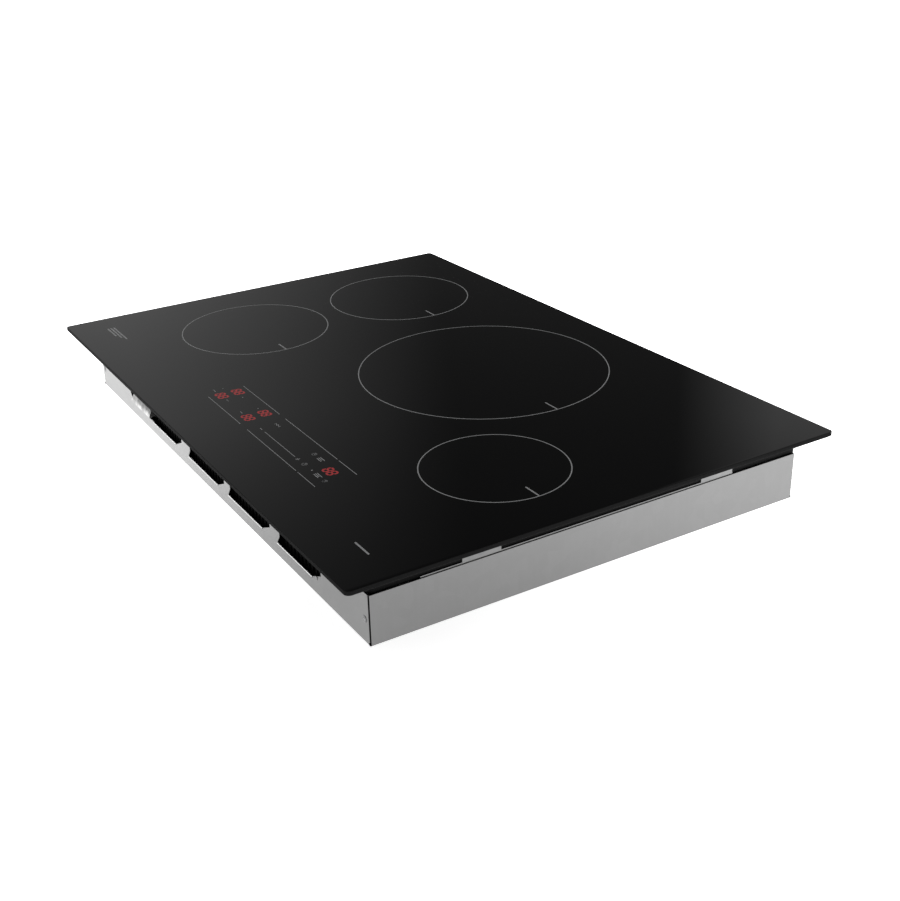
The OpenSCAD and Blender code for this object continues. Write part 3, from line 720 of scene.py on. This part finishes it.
# Stroke with round ends: two half circles joined by straight sides
def stroke(start, end, width, steps=5):
    start, end = np.array(start, float), np.array(end, float)
    heading = math.atan2(*(end - start)[::-1])
    angle = np.linspace(-math.pi / 2, math.pi / 2, steps + 1)
    arc = np.concatenate([angle + heading, angle + heading + math.pi])
    place = np.repeat([end, start], steps + 1, axis=0)
    return inkPrism(place + np.stack([np.cos(arc), np.sin(arc)], -1) * width / 2)


def printedPiece(name, solids, finish):
    points, faces = merged(solids)
    newPiece(name, meshOf(name, points * mm + (0, 0, glassTop), faces), "case", finish)


finishes["print_ink"] = newFinish(
    "printInk",
    shaded((0.38, 0.385, 0.39), (0.54, 0.545, 0.55), lambda f: f.cells(2500)),
    lambda f: f.noise(900, 2) * 0.2 + 0.4,
)


def makeZonePrints():
    for name, (x, y, radius) in zones.items():
        end = x + radius
        solids = [ringSolid(x, y, radius, ink["line"])]
        solids.append(stroke((end - tick["length"], y), (end - tick["gap"], y), tick["width"]))
        printedPiece(name, solids, "print_ink")


def makePanelLines():
    solids = []
    for key, y in (("front", panel["frontY"]), ("back", panel["backY"])):
        for start, end in panel[key]:
            solids.append(stroke((start, y), (end, y), panel["line"]))
    start, end, y = panel["slider"]
    solids.append(stroke((start, y), (end, y), panel["line"]))
    printedPiece("panelLines", solids, "print_ink")


# Small signs of the touch panel, generic, each by kind, centre and size
signs = {
    "line": 0.85,
    "pieces": [
        ("dashes", -71.7, -195, 6), ("dot", -71.6, -184.9, 1.3), ("dashes", -37.7, -193.7, 4),
        ("dot", -36.2, -176.8, 1.6), ("dashes", 1.4, -194.5, 4.6), ("dot", 1.8, -175.5, 1.4),
        ("steps", 53.2, -176.6, 9), ("minus", 52.1, -194.6, 4.4), ("plus", 138.1, -194.6, 4),
        ("clock", 137.2, -176.3, 5), ("lines", 151.8, -176.5, 9), ("clock", 151.9, -194.1, 5.4),
        ("dot", 167.9, -194.1, 1.8), ("lines", 181.5, -194.6, 10), ("power", 195.5, -194.4, 4.6),
    ],
}
# Plain bars near the front corners of the glass, each by its two ends along x and its y
edgeBars = {
    "width": 1.9,
    "runs": [(-340, -291, -220.4), (-340, -300, -224.2), (-340, -309, -228), (314, 337, -225.4)],
}


# Arc drawn as short strokes from one turn to another, in degrees
def arcStrokes(x, y, radius, start, end, width, steps=14):
    angle = np.radians(np.linspace(start, end, steps + 1))
    spots = np.stack([x + radius * np.cos(angle), y + radius * np.sin(angle)], -1)
    return [stroke(spots[k], spots[k + 1], width, 3) for k in range(steps)]


def signStrokes(kind, x, y, size):
    half, line = size / 2, signs["line"]
    runs = {
        "dot": [(0, 0, 0.02, 0)],
        "dashes": [(-half, 0, -half * 0.3, 0), (half * 0.3, 0, half, 0)],
        "minus": [(-half, 0, half, 0)],
        "plus": [(-half, 0, half, 0), (0, -half, 0, half)],
        "steps": [(k, -0.9, k, 0.9) for k in (-half, 0, half)] + [(-half, 0, half, 0)],
        "lines": [(-half, 1.9, half, 1.9), (-half, 0, half * 0.5, 0), (-half, -1.9, half * 0.8, -1.9)],
        "clock": [(0, 0, 0, half * 0.6), (0, 0, half * 0.45, 0)],
        "power": [(0, half * 0.2, 0, half * 1.1)],
    }[kind]
    width = size if kind == "dot" else line
    solids = [stroke((x + a, y + b), (x + c, y + d), width) for a, b, c, d in runs]
    if kind == "clock":
        solids += arcStrokes(x, y, half, 0, 360, line)
    if kind == "power":
        solids += arcStrokes(x, y, half, -230, 50, line)
    return solids


def makeSigns():
    solids = [solid for sign in signs["pieces"] for solid in signStrokes(*sign)]
    printedPiece("panelSigns", solids, "print_ink")
    solids = [stroke((start, y), (end, y), edgeBars["width"]) for start, end, y in edgeBars["runs"]]
    printedPiece("edgeMarks", solids, "print_ink")


makeZonePrints()
makePanelLines()
makeSigns()

# Numerals: seven bars each, every segment lit
digits = {
    "centres": [(-53.5, -193.8), (-53.5, -174.8), (17.8, -194), (17.2, -174.8), (180, -180.9)],
    "height": 10.0,
    "width": 5.8,
    "pitch": 8.4,
    "bar": 2.0,
    "gap": 0.2,
    "slant": 0.10,
}
finishes["lit_red"] = newFinish(
    "litRed",
    shaded((0.22, 0.02, 0.022), (0.32, 0.03, 0.032), lambda f: f.noise(300, 2)),
    lambda f: f.noise(300, 2) * 0.05 + 0.2,
    Emission_Color=shaded((0.50, 0.055, 0.06), (0.78, 0.085, 0.09), lambda f: f.noise(260, 2)),
    Emission_Strength=0.27,
)


def sevenBars(x, y):
    half, rise = digits["width"] / 2, digits["height"] / 2
    bar, gap = digits["bar"] / 2, digits["gap"]
    ends = [((-half, k), (half, k)) for k in (-rise, 0, rise)]
    ends += [((side, low), (side, low + rise)) for side in (-half, half) for low in (-rise, 0)]
    for start, end in ends:
        start, end = np.array(start, float), np.array(end, float)
        along = (end - start) / np.linalg.norm(end - start)
        across = np.array([-along[1], along[0]])
        tip, tail = start + along * gap, end - along * gap
        outline = np.array([
            tip, tip + along * bar - across * bar, tail - along * bar - across * bar,
            tail, tail - along * bar + across * bar, tip + along * bar + across * bar,
        ])
        outline[:, 0] += outline[:, 1] * digits["slant"]
        yield inkPrism(outline + np.array([x, y]))


def makeDigits():
    for k, (x, y) in enumerate(digits["centres"], 1):
        solids = [bar for side in (-0.5, 0.5) for bar in sevenBars(x + side * digits["pitch"], y)]
        printedPiece(f"displayDigits{k}", solids, "lit_red")


makeDigits()
print("printing made")

# Painted shade in the seams where the sheets meet at the upright corners: a near-black strip and its foot
# stand in for the shade in each gap, in millimetres
seam = {"x": (353.9, 355.2), "front": (-236.9, -236.5), "back": (246.0, 246.4), "z": (0.6, 49.0)}
seamFoot = {"x": (352.9, 355.45), "front": (-237.6, -236.5), "back": (245.9, 246.9), "z": (0.1, 2.4)}
finishes["seam_dark"] = newFinish(
    "seamPaintedShade",
    shaded((0.0008, 0.0008, 0.0008), (0.003, 0.003, 0.003), lambda f: f.noise(400, 2)),
    0.9,
    normal=lambda f: f.bump(f.noise(900, 2), 0.2, 0.0001),
    Specular_IOR_Level=0.05,
)


def makeSeams():
    for side in (-1, 1):
        for end in ("front", "back"):
            blocks = []
            for block in (seam, seamFoot):
                x, y = sorted(side * value for value in block["x"]), block[end]
                outline = [(x[0], y[0]), (x[1], y[0]), (x[1], y[1]), (x[0], y[1])]
                blocks.append(prism(outline, *block["z"]))
            points, faces = merged(blocks)
            name = f"cornerShadeStrip_{end}_{'left' if side < 0 else 'right'}"
            newPiece(name, meshOf(name, points * mm, faces), "case", "seam_dark")


makeSeams()

# Rolled lips along the sills of the front notches, in millimetres from each opening's box
lip = {
    "radius": 0.8,
    "sink": 0.55,  # how far its middle lies behind the wall's face
    "drop": 0.75,  # how far its middle lies below the sill
    "clear": 1.0,  # the opening's box starts this far above the sill
    "start": {"front_notch_1": -1, "front_notch_2": -6.5, "front_notch_3": -6.5, "front_notch_4": -6.5},
    "end": 0.4,
    "steps": 14,
    "sharp": 50,
}
# The lip's steel is about twice as light as the case sheet: a painted highlight along each sill, on a rolled
# lip of the sheet
finishes["burnished_lip"] = newFinish(
    "lipPaintedHighlight",
    shaded((0.50, 0.50, 0.50), (0.56, 0.56, 0.56), lambda f: f.noise(1, 3, (160, 700, 700))),
    lambda f: f.noise(1, 2, (90, 500, 500)) * 0.08 + 0.32,
    1.0,
)


# Bead: a circle carried straight along the sill, closed with a flat cap at each end
def makeLips():
    angle = np.linspace(0, 2 * math.pi, lip["steps"], endpoint=False)
    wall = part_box("tray")[0].y / mm
    beads = []
    for opening in frame["record"]["physics"]["openings"]:
        if opening["name"] not in lip["start"]:
            continue
        (xLow, _, above), (xHigh, _, _) = np.array(opening["box_m"]) / mm
        y, z = wall + lip["sink"], above - lip["clear"] - lip["drop"]
        reach = (xLow + lip["start"][opening["name"]], xHigh + lip["end"])
        ring = np.stack([0 * angle, y + lip["radius"] * np.cos(angle), z + lip["radius"] * np.sin(angle)], -1)
        points = np.concatenate([ring + (x, 0, 0) for x in reach])
        beads.append((points, tubeFaces(len(reach), len(angle))))
    points, faces = merged(beads)
    mesh = meshOf("sillLips", points * mm, faces)
    mesh.shade_smooth()
    mesh.set_sharp_from_angle(angle=math.radians(lip["sharp"]))
    newPiece("sillLips", mesh, "case", "burnished_lip")


makeLips()
print("seams and lips made")

edges = {  # CAD node: its piece's name and the round on its edges, in millimetres
    "tray": ("traySheet", 0.28),
    "side_panel_left": ("leftPanel", 0.25),
    "side_panel_right": ("rightPanel", 0.25),
    "plate_rail_left": ("leftRail", 0.25),
    "plate_rail_right": ("rightRail", 0.25),
    "glass_frame": ("glassFrame", 0.4),
    "front_clip_leaf": ("frontClip", 0.2),
    "rear_clip_leaf": ("rearClip", 0.2),
    "cable_gland": ("cableGland", 0.5),
    "clip_feet": ("clipFeet", 0.2),
    "worktop_seal": ("foamSeal", 0.3),
    "coil_plate": ("coilPlate", 0.25),
    "touch_holder": ("touchTray", 0.4),
    "board_carriers": ("boardTrays", 0.3),
    "heat_sinks": ("heatSinks", 0.2),
    "power_transistors": ("transistors", 0.25),
    "air_ducts": ("airDucts", 0.4),
    "fan_housing_left": ("leftFanHousing", 0.4),
    "fan_housing_right": ("rightFanHousing", 0.4),
    "fan_rotor_left": ("leftRotor", 0.15),
    "fan_rotor_right": ("rightRotor", 0.15),
    "terminal_block": ("terminalBlock", 0.4),
    "display_modules": ("displayBlocks", 0.3),
}
for k in (1, 2, 3, 4):
    edges[f"coil_carrier_{k}"] = (f"coilCarrier{k}", 0.35)
    edges[f"coil_base_{k}"] = (f"coilDisc{k}", 0.3)
    edges[f"coil_ferrites_{k}"] = (f"ferriteBars{k}", 0.5)
    edges[f"coil_sensor_{k}"] = (f"coilSensor{k}", 0.4)
for node, (name, width) in edges.items():
    softened(name, node, width * mm)
print("edges softened:", len(edges))

# Screws with a cross recess: places in millimetres by the way the head faces
screws = {
    "radius": 3.5,
    "shank": 1.9,
    "length": 5,  # of the shank
    "arm": 0.5,  # half the width of a recess arm
    "reach": 2.1,  # how far an arm reaches from the middle
    "slope": 0.35,  # width over which a recess wall falls
    "tip": 0.6,  # the shank's end as a share of the shank's radius
    "taper": 0.6,  # length of the shank's pointed end
    # The head's lower edge as a share of its radius, and the height of its side as a share of the head's
    "rim": (0.97, 0.2),
    "crown": 0.45,  # how far the dome falls from its middle to its edge, as a share of the height
    "middle": 0.03,  # radius of the small flat in the middle, as a share of the head's
    "domeSteps": 20,
    "steps": 56,
    "sharp": 40,
}
flatScrews = {"height": 0.6, "recess": 0.42, "places": [
    ((x, y, 23), (0, way, 0)) for x in (-346.7, 346.7) for y, way in ((-237.5, -1), (247, 1))
]}
panScrews = {"height": 2.0, "recess": 1.3, "places": [
    ((x, -237.5, 62), (0, -1, 0)) for x in (-300, -77, 155, 300)
] + [((side * 354.5, y, 62), (side, 0, 0)) for side in (-1, 1) for y in (-124, 145)]}
plateScrews = {"height": 2.0, "recess": 1.3, "places": [
    ((x, y, 47), (0, 0, 1)) for x in (-345.5, 345.5) for y in (-150, -10, 130)
]}


# Lathe shape: up the shank, out under the head, up its side and over a low dome to the middle;
# the dome sinks where a point lies inside one of the two crossed arms
def screwShape(height, recess):
    radius, shank, bottom = screws["radius"], screws["shank"], -screws["length"]
    rimReach, rimRise = screws["rim"]
    inward = np.linspace(1, screws["middle"], screws["domeSteps"])
    dome = height * (1 - screws["crown"] * inward ** 4)
    under = [shank * screws["tip"], shank, shank, radius * rimReach, radius]
    reach = np.concatenate([under, radius * inward])
    rise = np.concatenate([[bottom, bottom + screws["taper"], 0, 0, height * rimRise], dome])
    turn = np.linspace(0, 2 * math.pi, screws["steps"], endpoint=False)
    x, y = reach[:, None] * np.cos(turn), reach[:, None] * np.sin(turn)
    narrow, wide = np.minimum(abs(x), abs(y)), np.maximum(abs(x), abs(y))
    inside = np.clip((screws["arm"] - narrow) / screws["slope"] + 0.5, 0, 1)
    inside = inside * np.clip((screws["reach"] - wide) / screws["slope"] + 0.5, 0, 1)
    top = (np.arange(len(reach)) >= len(under))[:, None]
    z = rise[:, None] - recess * inside * top
    return np.stack([x, y, z], -1)


def makeScrews(name, groups, *replaced):
    solids = []
    for group in groups:
        shape = screwShape(group["height"], group["recess"])
        for place, way in group["places"]:
            across = np.array([0, 0, 1.0]) if way[2] == 0 else np.array([1.0, 0, 0])
            turn = np.array([across, np.cross(way, across), way])
            solids.append((shape.reshape(-1, 3) @ turn + place, tubeFaces(*shape.shape[:2])))
    points, faces = merged(solids)
    mesh = meshOf(name, points * mm, faces)
    mesh.shade_smooth()
    mesh.set_sharp_from_angle(angle=math.radians(screws["sharp"]))
    newPiece(name, mesh, "case", "screw_steel", *replaced)


makeScrews("caseScrews", (flatScrews, panScrews), "case_screws")
makeScrews("plateScrews", (plateScrews,), "plate_screws")
print("screws made")

# Leaf springs under the coil units, which flatten as the unit sinks; here each is only a softened copy with a
# mesh of its own
springs = {"travel": 3.0, "edge": 0.15}
for k in (1, 2, 3, 4):
    node = f"coil_springs_{k}"
    low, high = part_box(node)
    leaf = softened(f"leafSprings{k}", node, springs["edge"] * mm)
    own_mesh(leaf)
print("springs made")

studio = {
    "floorHalf": 25,  # half its width, in metres
    "floorDrop": 0.0002,
    "floorGlow": 0.80,
    "skyDiffuse": 0.36,
    "dark": 0.043,  # what is seen where no panel shines
    # Each panel: where it starts, how far it takes to reach full light, how bright it is, how late it rises
    "leftPanel": (0.86, 0.11, 0.28, 1.5),
    "backPanel": (0.70, 0.07, 0.25, 1.2),
    "frontLeftPanel": (0.62, 0.25, 3.2, 1.0),
    # How the side panels fade with height, and the heights and edges between which the lamp shines
    "fade": (2.24, 3.3),
    "lampFoot": (0.15, 6),
    "lampHead": (0.85, 5),
    # Painted pools of light in the floor's glow: where each starts and ends along the floor, and what it adds
    "leftPaintedPool": (0.31, -0.21, 0.95),
    "backPaintedPool": (-0.20, 0.30, 0.68),
}


def makeStudio():
    half = studio["floorHalf"]
    corners = [(-half, -half, 0), (half, -half, 0), (half, half, 0), (-half, half, 0)]
    floor = bpy.data.objects.new("floor", meshOf("floor", corners, [(0, 1, 2, 3)]))
    bpy.context.scene.collection.objects.link(floor)
    floor.location.z = -studio["floorDrop"]

    # The glowing table: an even glow, with a painted brighter pool of light on the left and another at the
    # back
    def floorLight(f):
        x, y, _ = f.split(f.coords())
        total = studio["floorGlow"]
        for place, (start, end, gain) in ((x, studio["leftPaintedPool"]), (y, studio["backPaintedPool"])):
            reach = ((place - start) / (end - start)).clamp()
            total = reach * reach * (3 - reach * 2) * gain + total
        return total

    floorFinish = newFinish(
        "paleFloor",
        shaded((0.90, 0.90, 0.90), (0.93, 0.93, 0.93), lambda f: f.noise(3, 3)),
        0.9,
        Emission_Color=floorLight,
        Emission_Strength=1.0,
    )
    floor.data.materials.append(floorFinish)
    floor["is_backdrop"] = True

    world = bpy.data.worlds.new("studio")
    bpy.context.scene.world = world
    world.use_nodes = True
    sky = Finish(world.node_tree)
    x, y, z = sky.split(sky.make("ShaderNodeTexCoord", out="Generated"))
    flat = (x * x + y * y + 0.0001) ** 0.5

    # A soft panel on each side: nothing until the direction comes near it, then steadily brighter;
    # the left and back panels fade upwards, the front left one is a lamp between low and high
    def softPanel(towards, start, span, power, bend):
        return ((towards / flat - start) / span).clamp() ** bend * power

    level, fall = studio["fade"]
    glow = softPanel(-1 * x, *studio["leftPanel"]) + softPanel(y, *studio["backPanel"])
    glow = glow * (level - z * fall).clamp()
    (foot, footRise), (head, headRise) = studio["lampFoot"], studio["lampHead"]
    band = ((z - foot) * footRise).clamp() * ((head - z) * headRise).clamp()
    glow = glow + softPanel((x + y) * -math.sqrt(0.5), *studio["frontLeftPanel"]) * band + studio["dark"]
    isCamera = sky.make("ShaderNodeLightPath", out="Is Camera Ray")
    isGlossy = sky.make("ShaderNodeLightPath", out="Is Glossy Ray")
    seen = isGlossy * glow + (1 - isGlossy) * studio["skyDiffuse"]
    seen = seen * (1 - isCamera) + isCamera
    backdrop = world.node_tree.nodes.new("ShaderNodeBackground")
    world.node_tree.links.new(seen.socket, backdrop.inputs["Color"])
    target = world.node_tree.nodes.new("ShaderNodeOutputWorld")
    world.node_tree.links.new(backdrop.outputs[0], target.inputs[0])
    bpy.context.scene.view_settings.view_transform = "Standard"


makeStudio()
print("studio made")

low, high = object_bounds()
